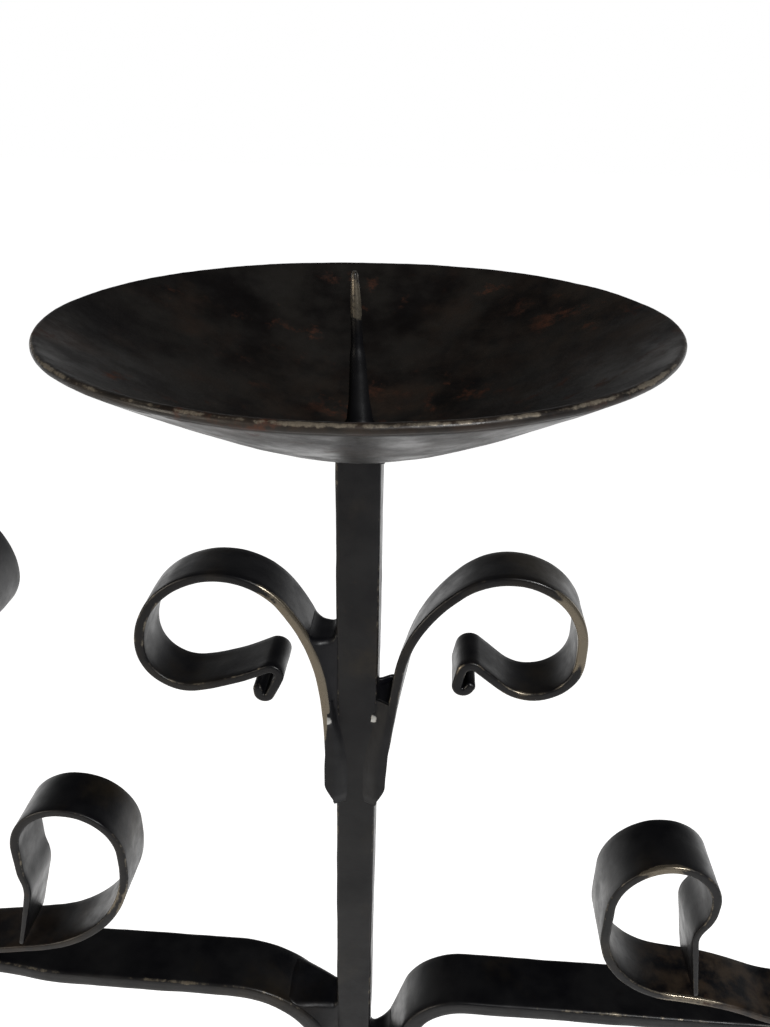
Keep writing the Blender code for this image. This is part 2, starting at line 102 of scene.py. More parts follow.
PAN_DEPTH = 25.5 * MM
PAN_SHEET = 2.0 * MM
PAN_RIM_EDGE = 1.7 * MM         # height of the rim's edge
PAN_FLOOR_R = 9.0 * MM
PAN_FLOOR_GROWS = 0.8 * MM      # the floor's upper face is this much wider
PAN_FLOOR_RING = 0.6            # share of the floor's radius
PAN_HOLE_R = 2.5 * MM
PAN_CURVE = 1.3
PAN_SIDES = 288
PAN_RINGS = 44
PAN_OUTSIDE_INSET = 0.5 * MM    # the outer face ends this far inside the rim's radius
PAN_INSIDE_INSET = 1.0 * MM
PAN_EDGE_R = 0.75 * MM
PAN_EDGE_POINTS = 9
PAN_EDGE_WEAR_SIDE = 50.0       # degrees above level: the most worn part of the rim's round edge
PAN_EDGE_WEAR_SHARP = 1.3
PAN_INNER_EDGE_WEAR = 0.55
PAN_DIMPLES = ((0.22, 13.0 * MM), (0.10, 5.0 * MM))         # depths in mm
PAN_DIMPLES_FULL = 2.0          # they grow to full depth over the first 1/2.0 of the radius
PAN_DIMPLES_FADE = 0.85         # and lose this much towards the rim
PAN_GRAIN = (0.05 * MM, 1.6 * MM)
PAN_RIM_WAVES = ((0.30, 0.045), (0.10, 0.012))              # heights in mm, round PAN_WAVE_CIRCLE
PAN_ROUND_WAVE = (0.004, 0.02)
PAN_WAVE_CIRCLE = 0.05
PAN_RIGHT_UP = (0.8 * MM, 8.0)  # how far, and the angle it is highest at
PAN_LEFT_DOWN = 0.3 * MM
PAN_FRONT_DOWN = 0.006          # share of the radius
PAN_STAIN_MIDDLE = (0.55, 0.38)             # how much, and its radius as a share of the pan's
PAN_STAIN_RIGHT = (0.45, 5.0)               # how much, and the angle it is strongest at
PAN_STAIN_FRONT = 0.5
PAN_RUB = (0.22, 322.0, 9.0)                # extra wear on the rim: how much, angle, half width

SPIKE_TIP_UP = 9.0 * MM
SPIKE_DOWN = 7.0 * MM           # the tenon's reach below the pan
SPIKE_LEAN = {"centre": -1.4 * MM, "left": 0.8 * MM, "right": -0.6 * MM}
SPIKE_SIDES = 28
SPIKE_STEP = 0.8 * MM
SPIKE_HAMMERED = 0.5
SPIKE_BARE = (1.15, 0.50, 0.25)             # wear at the tip, and shares of the height: its start, its growth

SCROLL_W = 12.7 * MM
SCROLL_T = 2.2 * MM
SCROLL_TAIL_DROP = 118.0 * MM   # every drop is measured from the pan's rim
SCROLL_TAIL_THIN = 6.6 * MM
SCROLL_TAIL_END = 0.12          # share of the thickness left at the tail's end
# Painted highlights: the worn colour laid along the scrolls' front edges, a painted lit tan edge on the left
# scroll and painted glints on the right; from, to, how much
SCROLL_PAINTED_GLINTS = {"left": ((18.0 * MM, 64.0 * MM, 1.1),), "right": ((84.0 * MM, 108.0 * MM, 0.9),)}
SCROLL_TWIST = {"tight": 9.0, "open": 0.0, "wide": 0.0, "small": 5.0}
SCROLL_TWIST_MIDDLE = 45.0 * MM
SCROLL_TWIST_REACH = 40.0 * MM
SCROLL_KINDS = {"centre": ("open", "tight"), "left": ("tight", "wide"), "right": ("small", "open")}

ARM_W = 15.9 * MM
ARM_T = 4.76 * MM
ARM_END_ROLL_R = 8.0 * MM
ARM_END_ROLL_ANGLE = 150.0
ARM_TAIL_THIN = 8.0 * MM
ARM_TIP_THIN = 14.0 * MM
LEFT_ARM_RISE_ANGLE = 12.8
LEFT_ARM_RISE_R = 60.0 * MM
LEFT_ARM_RISE_X = 80.0 * MM

ARM_SCROLL_W = {"left": 14.2 * MM, "right": 16.2 * MM}
ARM_SCROLL_T = 2.4 * MM
ARM_SCROLL_TIP_THIN = 35.0 * MM
ARM_SCROLL_TAIL_X = 121.0 * MM
ARM_SCROLL_RUST = {"left": ((0.0 * MM, 50.0 * MM, 0.35),), "right": ((-10.0 * MM, 50.0 * MM, 0.9),)}
# Painted highlights on the arm scrolls' front edges, in the worn colour: from, to, how much
ARM_SCROLL_PAINTED_GLINTS = {"left": ((60.0 * MM, 75.0 * MM, 0.4),),
                   "right": ((22.0 * MM, 40.0 * MM, 0.6), (92.0 * MM, 104.0 * MM, 0.7))}

BOW_FLAT_HALF = 14.0 * MM
BOW_LEG_SLOPE = 60.0
BOW_SHOULDER_R = 30.0 * MM
BOW_ANKLE_R = 25.0 * MM
BOW_SOLE = 14.0 * MM
BOW_TOE_R = 9.5 * MM
BOW_TOE_ANGLE = 215.0
BOW_END_THIN = 12.0 * MM
BOW_INWARDS = 0.20 * MM         # keeps hammer marks from standing past the soles and toes

ENDS_THIN_TO = 0.5              # share of the thickness left at an end, where nothing else is said

# Fillets and beads that swell from their CAD shape
LUMPY_SWELL = 0.38 * MM
LUMPY_VOXEL = 0.32 * MM
LUMPY_RIPPLE = 0.30 * MM
LUMPY_WAVES = ((1.0, 2.6 * MM), (0.4, 1.1 * MM))            # shares of the ripple
LUMPY_WEAR = 0.25
LUMPY_SOFTENING = (0.5, 6)                  # factor, times
MERGE = 0.00001

# Webs: weld metal in the wedge between a stem and a strip
WEB_COLUMNS = 26
WEB_SIDE_ROWS = 46
WEB_TOP_ROWS = 12
WEB_EDGE_STEPS = 10
WEB_BITES = 0.12                # share of the columns that run on into the iron at each side
WEB_BITE = 4.0 * MM
WEB_BELOW_STEM = 0.10 * MM      # the web's face lies this far inside the stem's
WEB_ABOVE_EDGE = 0.05 * MM
WEB_TOP_ROUND = 1.5 * MM
WEB_DISH = (0.20 * MM, 2.0 * MM)            # how deep, and the gap from which it is that deep
WEB_LUMPS = (0.10 * MM, 4.0 * MM)
WEB_TOP_LUMPS = 0.8             # share of them that also lifts a point
WEB_FOOT_UP = 1.0 * MM
SCROLL_WEB_INSET = 0.25 * MM
SCROLL_NOTCH_DROP = {"left": 71.8 * MM, "right": 89.4 * MM}
SCROLL_NOTCH_R = 1.9 * MM
ARM_WEB_INSET = 0.5 * MM
ARM_NOTCH_DROP = {"left": 197.2 * MM, "right": 215.4 * MM}
ARM_NOTCH_R = {"left": 1.3 * MM, "right": 1.9 * MM}
ARM_NOTCH_SLOPE = {"left": 0.45, "right": 0.15}

# Skins: flat runs of weld over a scroll's tail
SKIN_COLUMNS = 44
SKIN_ROWS = 96
SKIN_FULL_TO = 0.35             # share of the height up to which the run is full width
SKIN_ON_STEM = 3.4 * MM
SKIN_NARROWS = 0.8
SKIN_PAST_STRIP = 0.08 * MM
SKIN_TOP_ON_STRIP = 0.35        # share of the strip's thickness covered at the top
SKIN_ENDS = (0.10, 0.30)        # shares of the height over which it sinks in, bottom and top
SKIN_SIDE_FADE = 0.35
SKIN_FLAT_ON_STEM = 3.2 * MM
SKIN_RAMP_ON_STRIP = 0.5 * MM
SKIN_STANDS = 0.16 * MM
SKIN_SINKS = 0.22 * MM
SKIN_LUMPS = (0.07 * MM, 3.0 * MM)
SKIN_BACK = 0.9 * MM            # how far its hidden back lies inside the iron
SKIN_FOOT_DOWN = 1.0 * MM
SKIN_BEVEL = 6.6 * MM
SKIN_TOP_DROP = 88.0 * MM
BLOB_DROP = 93.0 * MM           # the high spot where the weld run stopped
BLOB_UP = 0.55 * MM
BLOB_R = 1.5 * MM
# painted highlight: wear raised on the high spot so it takes the weld's near-white worn colour
BLOB_PAINTED_GLINT = 1.3
BLOB_FROM_STEM = {"left": 1.7 * MM, "right": -0.8 * MM}

# The camera, from the middle of the centre pan's rim
CAMERA_OFFSET = Vector((14.46, -165.28, 38.07)) * MM
CAMERA_TILT = 25.79             # degrees below level
CAMERA_PAN = -3.12              # degrees, to the left
CAMERA_ROLL = 1.375
CAMERA_LENS = 30.23             # mm on a 36 mm sensor along the frame's longer side
SENSOR = 36.0
NEAREST_SEEN = 0.01

FLOOR_HALF = 6.0
FLOOR_BELOW = 0.2 * MM
FLOOR_PALE = 0.93
FLOOR_GLOW = ((-0.25, 0.12), (0.08, 0.98))  # from and to along Y, and its strength there
LIGHTS_AIM = (0.0, 0.0, 0.28)
LIGHTS = (                                  # name, place, size, energy, colour, casts shadows
    ("glint", (0.42, -0.62, 0.80), 0.06, 5.0, (1.0, 1.0, 1.0), False),
    ("left_warm", (-0.75, -0.55, 0.40), 0.35, 3.0, (1.0, 0.90, 0.76), True))
WORLD_BY_HEIGHT = ((0.0, 0.42), (0.62, 0.035))
WORLD_BY_DEPTH = ((-0.6, 0.7), (0.20, 1.0))


# Forging ------------------------------------------------------------------------------------------
def soft_step(value):
    """0 below 0, 1 above 1, and smooth between."""
    share = min(1.0, max(0.0, value))
    return share * share * (3.0 - 2.0 * share)


def lumps(point, scale, seed):
    """Smooth noise about 0, between -1 and 1, with lumps about this far apart."""
    return noise.noise(Vector(point) / scale + Vector((seed * 7.31, seed * 3.17, seed * 5.53)))


def waves(point, sizes, seed):
    """Lumps of several sizes, one on another; each size is how high and how far apart."""
    return sum(high * lumps(point, apart, seed + number) for number, (high, apart) in enumerate(sizes))


def hammered(point, seed):
    """How far hammering has moved a point of the surface, outwards."""
    return waves(point, HAMMER_MARKS, seed) * MM


def walk(start, heading, moves):
    """Follow lines and arcs in the XZ plane in short steps. Gives x, z, heading, distance."""
    x, z = start
    angle = math.radians(heading)
    travelled = 0.0
    stations = [(x, z, angle, travelled)]
    for move in moves:
        if move[0] == "line":
            length, turn, step = move[1], 0.0, STEP
        else:
            turn = math.radians(move[2])
            length = move[1] * abs(turn)
            step = FINE_STEP if move[1] < TIGHT_R else STEP
        steps = max(1, round(length / step))
        for _ in range(steps):
            chord = length / steps
            if turn:
                half = turn / steps / 2.0
                chord *= math.sin(abs(half)) / abs(half)
            middle = angle + turn / steps / 2.0
            x += chord * math.cos(middle)
            z += chord * math.sin(middle)
            angle += turn / steps
            travelled += length / steps
            stations.append((x, z, angle, travelled))
    return stations


def rounded_section(width, thick, corner, across, corner_points=4):
    """A rounded rectangle as (offset along the normal, offset along the width, outward, wear)."""
    corner = min(corner, thick * 0.46)
    w, t = width / 2.0 - corner, thick / 2.0 - corner
    points = []
    for (sx, sy), turn in (((1, -1), -90.0), ((1, 1), 0.0), ((-1, 1), 90.0), ((-1, -1), 180.0)):
        for i in range(corner_points):
            a = math.radians(turn + 90.0 * i / (corner_points - 1))
            out = (math.cos(a), math.sin(a))
            bend = abs(math.sin(2.0 * a))
            worn_and_glinting = CORNER_WEAR + CORNER_WEAR_RISE * bend
            points.append((sx * t + corner * out[0], sy * w + corner * out[1], out, worn_and_glinting))
        if sx == 1 and sy == -1:
            for i in range(1, across):
                points.append((thick / 2.0, -w + 2.0 * w * i / across, (1.0, 0.0), 0.0))
        elif sx == 1 and sy == 1:
            for i in range(1, 3):
                points.append((t - 2.0 * t * i / 3, width / 2.0, (0.0, 1.0), NARROW_FACE_WEAR))
        elif sx == -1 and sy == 1:
            for i in range(1, across):
                points.append((-thick / 2.0, w - 2.0 * w * i / across, (-1.0, 0.0), 0.0))
        else:
            for i in range(1, 3):
                points.append((-t + 2.0 * t * i / 3, -width / 2.0, (0.0, -1.0), NARROW_FACE_WEAR))
    return points


def mesh_piece(name, rows, wears_and_glints, closed_ring=False, stains=None):
    """One closed mesh through equal loops of points, with how worn each point is (raised where highlights are
    painted) and how stained.
    """
    mesh = bpy.data.meshes.new(name)
    build = bmesh.new()
    layer = build.verts.layers.float.new("wear_and_glint")
    stain_layer = build.verts.layers.float.new("stain")
    made = []
    for k, (row, wear_and_glint) in enumerate(zip(rows, wears_and_glints)):
        line = []
        for i, (point, worn_and_glinting) in enumerate(zip(row, wear_and_glint)):
            vert = build.verts.new(point)
            vert[layer] = worn_and_glinting
            if stains is not None:
                vert[stain_layer] = stains[k][i]
            line.append(vert)
        made.append(line)
    pairs = list(zip(made, made[1:]))
    if closed_ring:
        pairs.append((made[-1], made[0]))
    count = len(made[0])
    for here, there in pairs:
        for i in range(count):
            j = (i + 1) % count
            build.faces.new((here[i], here[j], there[j], there[i]))
    if not closed_ring:
        build.faces.new(made[0])
        build.faces.new(made[-1])
    bmesh.ops.recalc_face_normals(build, faces=build.faces)
    build.to_mesh(mesh)
    build.free()
    mesh.shade_smooth()
    piece = bpy.data.objects.new(name, mesh)
    bpy.context.scene.collection.objects.link(piece)
    return piece


def settle(piece, node, material):
    """The piece stands for its CAD node and moves with the object's one body."""
    piece.data.materials.append(material)
    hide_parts(node)
    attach(piece, ROOT)


def wind_at(twist, travelled):
    """How far a strip is wound about its own length at this distance from its tail."""
    away = min(1.0, abs(travelled - SCROLL_TWIST_MIDDLE) / SCROLL_TWIST_REACH)
    return math.radians(twist) * (0.5 + 0.5 * math.cos(math.pi * away))


def over_places(places, travelled, fade=1.0):
    """The sum of some places' effect here; each place is from, to and how much at its middle."""
    return sum(much * math.sin(math.pi * (travelled - start) / (end - start)) ** fade
               for start, end, much in places if start < travelled < end)


def forged_strip(node, stations, width, thick, material, seed, centre_x=0.0, side=1.0, turn=0.0,
                 thin_tail=0.0, thin_tip=0.0, tail_share=ENDS_THIN_TO, twist=0.0, across=8, painted_glints=(),
                 rusty=(), inwards=0.0):
    """Hammered flat strip along its stations, with rounded edges and rounded ends.

    Its front edge takes the worn colour as a painted highlight at the places given: from, to, how much.
    rusty is the length that has gone brown: from, to, how much.
    inwards is how far the whole surface lies inside the nominal one.
    """
    total = stations[-1][3]
    base = rounded_section(width, thick, CORNER_R if thick < THICK_STRIP else BAR_CORNER_R, across)
    rings = [(station, 1.0, 0.0) for station in stations]
    cap = min(CAP_THICK_SHARE * thick, CAP_LONGEST)
    for i in range(1, CAP_RINGS + 1):
        a = math.radians(CAP_ANGLE_STEP * i)
        shrink = 1.0 - (1.0 - math.cos(a)) * CAP_NARROWS
        rings.insert(0, (stations[0], shrink, -cap * math.sin(a)))
        rings.append((stations[-1], shrink, cap * math.sin(a)))
    rows, wears_and_glints, stains = [], [], []
    cos_turn, sin_turn = math.cos(turn), math.sin(turn)
    for (x, z, angle, travelled), shrink, beyond in rings:
        flat = 1.0
        if total - travelled < thin_tip:
            flat = ENDS_THIN_TO + (1.0 - ENDS_THIN_TO) * (total - travelled) / thin_tip
        chamfer = 0.0
        if travelled < thin_tail:
            chamfer = (1.0 - tail_share) * (1.0 - soft_step(travelled / thin_tail))
        along = (travelled, 0.0, 0.0)
        wide = 1.0 + STRIP_WIDE_WAVE[0] * lumps(along, STRIP_WIDE_WAVE[1], seed + 3.0)
        swell = 1.0 + STRIP_THICK_WAVE[0] * lumps(along, STRIP_THICK_WAVE[1], seed + 5.0)
        nx, nz = -math.sin(angle), math.cos(angle)
        tx, tz = math.cos(angle), math.sin(angle)
        wind = wind_at(twist, travelled)
        # painted highlight along the front edge, carried in the wear attribute
        rub_and_glint = over_places(painted_glints, travelled, GLINT_FADE)
        row, wear_and_glint = [], []
        for offset, edge, out, worn_and_glinting in base:
            n0 = offset * flat * swell * shrink
            n0 += (thick / 2.0 - n0) * chamfer
            v0 = edge * wide - math.copysign(min(abs(edge), thick / 2.0), edge) * (1.0 - shrink)
            push = hammered((travelled, v0 * MARK_STRETCH, n0), seed)
            push = push * (1.0 if shrink == 1.0 else CAP_HAMMERED) - inwards
            n0 += out[0] * push
            v0 += out[1] * push
            n = n0 * math.cos(wind) - v0 * math.sin(wind)
            v = v0 * math.cos(wind) + n0 * math.sin(wind)
            px = side * (x + n * nx + beyond * tx)
            pz = z + n * nz + beyond * tz
            row.append((centre_x + px * cos_turn - v * sin_turn, px * sin_turn + v * cos_turn, pz))
            wear_and_glint.append(worn_and_glinting + rub_and_glint if edge < -width / 2.0 + FRONT_EDGE else worn_and_glinting)
        rows.append(row)
        wears_and_glints.append(wear_and_glint)
        stains.append([over_places(rusty, travelled)] * len(base))
    settle(mesh_piece(node + "_forged", rows, wears_and_glints, stains=stains), node, material)


def forged_bar(node, centre_x, low, high, half, material, seed):
    """Hammered square bar, upright, with worn corners."""
    base = rounded_section(2.0 * half, 2.0 * half, BAR_CORNER_R, 8, corner_points=5)
    rows, wears_and_glints = [], []
    steps = round((high - low) / STEP)
    heights = [(low + share * BAR_END, shrink) for share, shrink in BAR_END_RINGS]
    heights += [(low + BAR_END + (high - low - 2.0 * BAR_END) * i / steps, 1.0) for i in range(1, steps)]
    heights += [(high - share * BAR_END, shrink) for share, shrink in reversed(BAR_END_RINGS)]
    for z, shrink in heights:
        up = (z, 0.0, 0.0)
        bow_x = BAR_SWAY[0] * lumps(up, BAR_SWAY[1], seed + 6.0)
        bow_y = BAR_SWAY[0] * lumps(up, BAR_SWAY[1], seed + 7.0)
        thick = 1.0 + BAR_THICK_WAVE[0] * lumps(up, BAR_THICK_WAVE[1], seed + 8.0)
        row, wear_and_glint = [], []
        for u, v, out, worn_and_glinting in base:
            push = hammered((u, v, z), seed)
            row.append((centre_x + bow_x + u * thick * shrink + out[0] * push,
                        bow_y + v * thick * shrink + out[1] * push, z))
            wear_and_glint.append(worn_and_glinting if worn_and_glinting > BAR_WEAR_LEAST else 0.0)
        rows.append(row)
        wears_and_glints.append(wear_and_glint)
    settle(mesh_piece(node + "_forged", rows, wears_and_glints), node, material)


def pan_outline():
    """The pan's sheet as (radius, height from the rim, wear, which way is out), once round."""
    floor_top = -PAN_DEPTH + PAN_SHEET
    inner_floor_r = PAN_FLOOR_R + PAN_FLOOR_GROWS
    ring_r = PAN_FLOOR_RING * PAN_FLOOR_R
    outline = [(PAN_HOLE_R, -PAN_DEPTH, 0.0, -1.0), (ring_r, -PAN_DEPTH, 0.0, -1.0)]
    for i in range(PAN_RINGS + 1):
        share = i / PAN_RINGS
        radius = PAN_FLOOR_R + (pan_r - PAN_OUTSIDE_INSET - PAN_FLOOR_R) * share
        z = -PAN_DEPTH + (PAN_DEPTH - PAN_RIM_EDGE) * share ** PAN_CURVE
        outline.append((radius, z, 0.0, -1.0))
    edge = PAN_RIM_EDGE / 2.0
    for i in range(1, PAN_EDGE_POINTS):
        a = math.radians(-90.0 + 180.0 * i / PAN_EDGE_POINTS)
        worn_and_glinting = max(0.0, math.cos(a - math.radians(PAN_EDGE_WEAR_SIDE))) ** PAN_EDGE_WEAR_SHARP
        outline.append((pan_r - PAN_EDGE_R + PAN_EDGE_R * math.cos(a), -edge + edge * math.sin(a), worn_and_glinting, 1.0))
    for i in range(PAN_RINGS, -1, -1):
        share = i / PAN_RINGS
        radius = inner_floor_r + (pan_r - PAN_INSIDE_INSET - inner_floor_r) * share
        worn_and_glinting = PAN_INNER_EDGE_WEAR if i == PAN_RINGS else 0.0
        outline.append((radius, floor_top * (1.0 - share ** PAN_CURVE), worn_and_glinting, 1.0))
    return outline + [(ring_r, floor_top, 0.0, 1.0), (PAN_HOLE_R, floor_top, 0.0, 1.0)]


def towards(angle, degrees):
    """1 where the angle, in radians, is this many degrees, falling to 0 a quarter turn away."""
    return max(0.0, math.cos(angle - math.radians(degrees))) ** 2


def forged_pan(node, centre_x, rim, material, seed):
    """Dished pan, beaten by hand: dimpled sheet, and a rim that isn't quite level or round."""
    outline = pan_outline()
    rub, rub_angle, rub_half = PAN_RUB
    rows, wears_and_glints, stains = [], [], []
    for k in range(PAN_SIDES):
        a = 2.0 * math.pi * k / PAN_SIDES
        ca, sa = math.cos(a), math.sin(a)
        around = (ca * PAN_WAVE_CIRCLE, sa * PAN_WAVE_CIRCLE, 0.0)
        rub_and_glint = rub * math.exp(-((math.degrees(a) - rub_angle) / rub_half) ** 2)
        rim_sway = waves(around, PAN_RIM_WAVES, seed + 3.0) * MM
        lift = PAN_RIGHT_UP[0] * towards(a, PAN_RIGHT_UP[1]) - PAN_LEFT_DOWN * towards(a, 180.0)
        uneven = PAN_ROUND_WAVE[0] * lumps(around, PAN_ROUND_WAVE[1], seed + 5.0)
        row, wear_and_glint, stain = [], [], []
        for r, z, worn_and_glinting, face in outline:
            share = r / pan_r
            middle = math.exp(-(share / PAN_STAIN_MIDDLE[1]) ** 2)
            brown = PAN_STAIN_MIDDLE[0] * middle
            brown += PAN_STAIN_RIGHT[0] * share * towards(a, PAN_STAIN_RIGHT[1])
            brown += PAN_STAIN_FRONT * share * towards(a, -90.0)
            stain.append(brown if face > 0.0 else 0.0)
            wear_and_glint.append(worn_and_glinting + rub_and_glint if worn_and_glinting else 0.0)
            place = (r * ca, r * sa, 0.0)
            dimple = waves(place, PAN_DIMPLES, seed) * MM * min(1.0, share * PAN_DIMPLES_FULL)
            dimple *= 1.0 - PAN_DIMPLES_FADE * share ** 6
            grain = PAN_GRAIN[0] * lumps((r * ca, r * sa, face * 0.1), PAN_GRAIN[1], seed + 2.0)
            tilt = lift + PAN_FRONT_DOWN * r * min(0.0, sa)
            grow = 1.0 + share ** 3 * uneven
            row.append((centre_x + r * ca * grow, r * sa * grow,
                        rim + z + dimple + face * grain + rim_sway * share ** 3 + tilt * share))
        rows.append(row)
        wears_and_glints.append(wear_and_glint)
        stains.append(stain)
    piece = mesh_piece(node + "_forged", rows, wears_and_glints, closed_ring=True, stains=stains)
    settle(piece, node, material)


def forged_spike(node, centre_x, rim, lean, material, seed):
    """Hand-filed pricket: a lumpy taper on a wider foot."""
    floor = rim - PAN_DEPTH + PAN_SHEET
    tip = rim + SPIKE_TIP_UP
    low = rim - PAN_DEPTH - SPIKE_DOWN
    # height, and radius in mm
    shape = [(low, 2.0), (floor - 0.4 * MM, 2.1), (floor, 3.5), (floor + 1.2 * MM, 3.45),
             (floor + 2.6 * MM, 2.75), (floor + 7.0 * MM, 2.1), (floor + 16.0 * MM, 1.55),
             (floor + 17.5 * MM, 1.25), (tip - 6.0 * MM, 1.0), (tip - 1.2 * MM, 0.6), (tip, 0.22)]
    bare, bare_from, bare_over = SPIKE_BARE
    rows, wears_and_glints = [], []
    for (z0, r0), (z1, r1) in zip(shape, shape[1:]):
        steps = max(2, round((z1 - z0) / SPIKE_STEP))
        for i in range(steps):
            t = i / steps
            z, r = z0 + (z1 - z0) * t, (r0 + (r1 - r0) * t) * MM
            share = max(0.0, z - floor) / (tip - floor)
            row = []
            for k in range(SPIKE_SIDES):
                a = 2.0 * math.pi * k / SPIKE_SIDES
                reach = r + SPIKE_HAMMERED * hammered((r * math.cos(a), r * math.sin(a), z), seed)
                row.append((centre_x + lean * share + reach * math.cos(a), reach * math.sin(a), z))
            rows.append(row)
            wears_and_glints.append([bare * min(1.0, max(0.0, share - bare_from) / bare_over)] * SPIKE_SIDES)
    settle(mesh_piece(node + "_forged", rows, wears_and_glints), node, material)


def lumpy_weld(node, material, seed):
    """Weld metal over its plain CAD bead: rounded, rippled, and running into the iron beside it."""
    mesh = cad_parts[node].data.copy()
    mesh.name = node + "_run"
    mesh.materials.clear()
    piece = bpy.data.objects.new(node + "_run", mesh)
    bpy.context.scene.collection.objects.link(piece)
    weld = piece.modifiers.new("close", "WELD")
    weld.merge_threshold = MERGE
    grow = piece.modifiers.new("grow", "DISPLACE")
    grow.strength = LUMPY_SWELL
    grow.mid_level = 0.0
    remesh = piece.modifiers.new("even", "REMESH")
    remesh.mode = "VOXEL"
    remesh.voxel_size = LUMPY_VOXEL
    smooth = piece.modifiers.new("soft", "SMOOTH")
    smooth.factor, smooth.iterations = LUMPY_SOFTENING
    bpy.context.view_layer.update()
    done = bpy.data.meshes.new_from_object(piece.evaluated_get(bpy.context.evaluated_depsgraph_get()))
    piece.modifiers.clear()
    piece.data = done
    bpy.data.meshes.remove(mesh)
    done.name = node + "_run"
    normals = [vert.normal.copy() for vert in done.vertices]
    worn_and_glinting = done.attributes.new("wear_and_glint", "FLOAT", "POINT")
    for vert, normal in zip(done.vertices, normals):
        worn_and_glinting.data[vert.index].value = max(0.0, min(1.0, LUMPY_WEAR + lumps(vert.co, LUMPY_WAVES[0][1], seed)))
        vert.co += normal * LUMPY_RIPPLE * waves(vert.co, LUMPY_WAVES, seed)
    done.shade_smooth()
    done.materials.clear()
    settle(piece, node, material)


def grid_skin(node, front, material, hollow):
    """A closed skin over a grid of (x, y, z, wear and painted highlight) points; its back lies this far
    behind the front.
    """
    rows = [[point[:3] for point in row] + [(x, y + hollow, z) for x, y, z, _ in reversed(row)]
            for row in front]
    wears_and_glints = [[point[3] for point in row] + [0.0] * len(row) for row in front]
    settle(mesh_piece(node + "_run", rows, wears_and_glints), node, material)


def inner_face(stations, thick):
    """The strip's near face up its straight leg, as (z, x)."""
    half = thick / 2.0
    return [(z + half * math.cos(a), x - half * math.sin(a)) for x, z, a, _ in stations]


def face_at(face, height):
    """The x of a strip's near face at this height."""
    for (z0, x0), (z1, x1) in zip(face, face[1:]):
        if z0 <= height <= z1 and z1 > z0:
            return x0 + (x1 - x0) * (height - z0) / (z1 - z0)
    return face[0][1]


def web_outline(half, low, top):
    """A web's front, rounded top and back in one column, as (y, z)."""
    soft = WEB_TOP_ROUND
    quarter = [math.radians(90.0 * i / WEB_EDGE_STEPS) for i in range(1, WEB_EDGE_STEPS)]
    line = [(-half, low + (top - soft - low) * i / WEB_SIDE_ROWS) for i in range(WEB_SIDE_ROWS + 1)]
    line += [(-half + soft * (1.0 - math.cos(a)), top - soft + soft * math.sin(a)) for a in quarter]
    back = [(-y, z) for y, z in reversed(line)]
    flat = 2.0 * half - 2.0 * soft
    line += [(-half + soft + flat * i / WEB_TOP_ROWS, top) for i in range(WEB_TOP_ROWS + 1)]
    return line + back


def web_weld(node, centre_x, side, face, low, notch, edge_half, notch_r, slope, material, seed):
    """Weld metal filling the narrow wedge between a stem and a strip, with a round notch on top.

    notch is the height of the notch's lowest point; slope is how fast the weld's top climbs from
    there to the strip.
    """
    stem_half = stem / 2.0
    gap_there = face_at(face, notch) - stem_half
    notch_r = min(notch_r, gap_there / 2.0)
    rows, wears_and_glints = [], []
    for k in range(WEB_COLUMNS + 1):
        u = -WEB_BITES + (1.0 + 2.0 * WEB_BITES) * k / WEB_COLUMNS
        inside = min(1.0, max(0.0, u))
        half = stem_half - WEB_BELOW_STEM + (edge_half - stem_half + WEB_ABOVE_EDGE) * inside
        x_there = inside * gap_there
        near_stem = max(0.0, 1.0 - x_there / notch_r)
        near_strip = max(0.0, 1.0 - (gap_there - x_there) / notch_r)
        top = notch + notch_r * (2.0 - math.sqrt(1.0 - near_stem ** 2) - math.sqrt(1.0 - near_strip ** 2))
        top += slope * max(0.0, x_there - notch_r)
        row = []
        for y, z in web_outline(half, low, top):
            gap = face_at(face, z) - stem_half
            x = stem_half + gap * inside + (u - inside) * WEB_BITE
            dish = WEB_DISH[0] * math.sin(math.pi * inside) * min(1.0, gap / WEB_DISH[1])
            push = WEB_LUMPS[0] * lumps((x, y, z), WEB_LUMPS[1], seed)
            y -= math.copysign(dish + push, y)
            row.append((centre_x + side * x, y, z + WEB_TOP_LUMPS * push))
        rows.append(row)
        wears_and_glints.append([0.0] * len(row))
    settle(mesh_piece(node + "_run", rows, wears_and_glints), node, material)


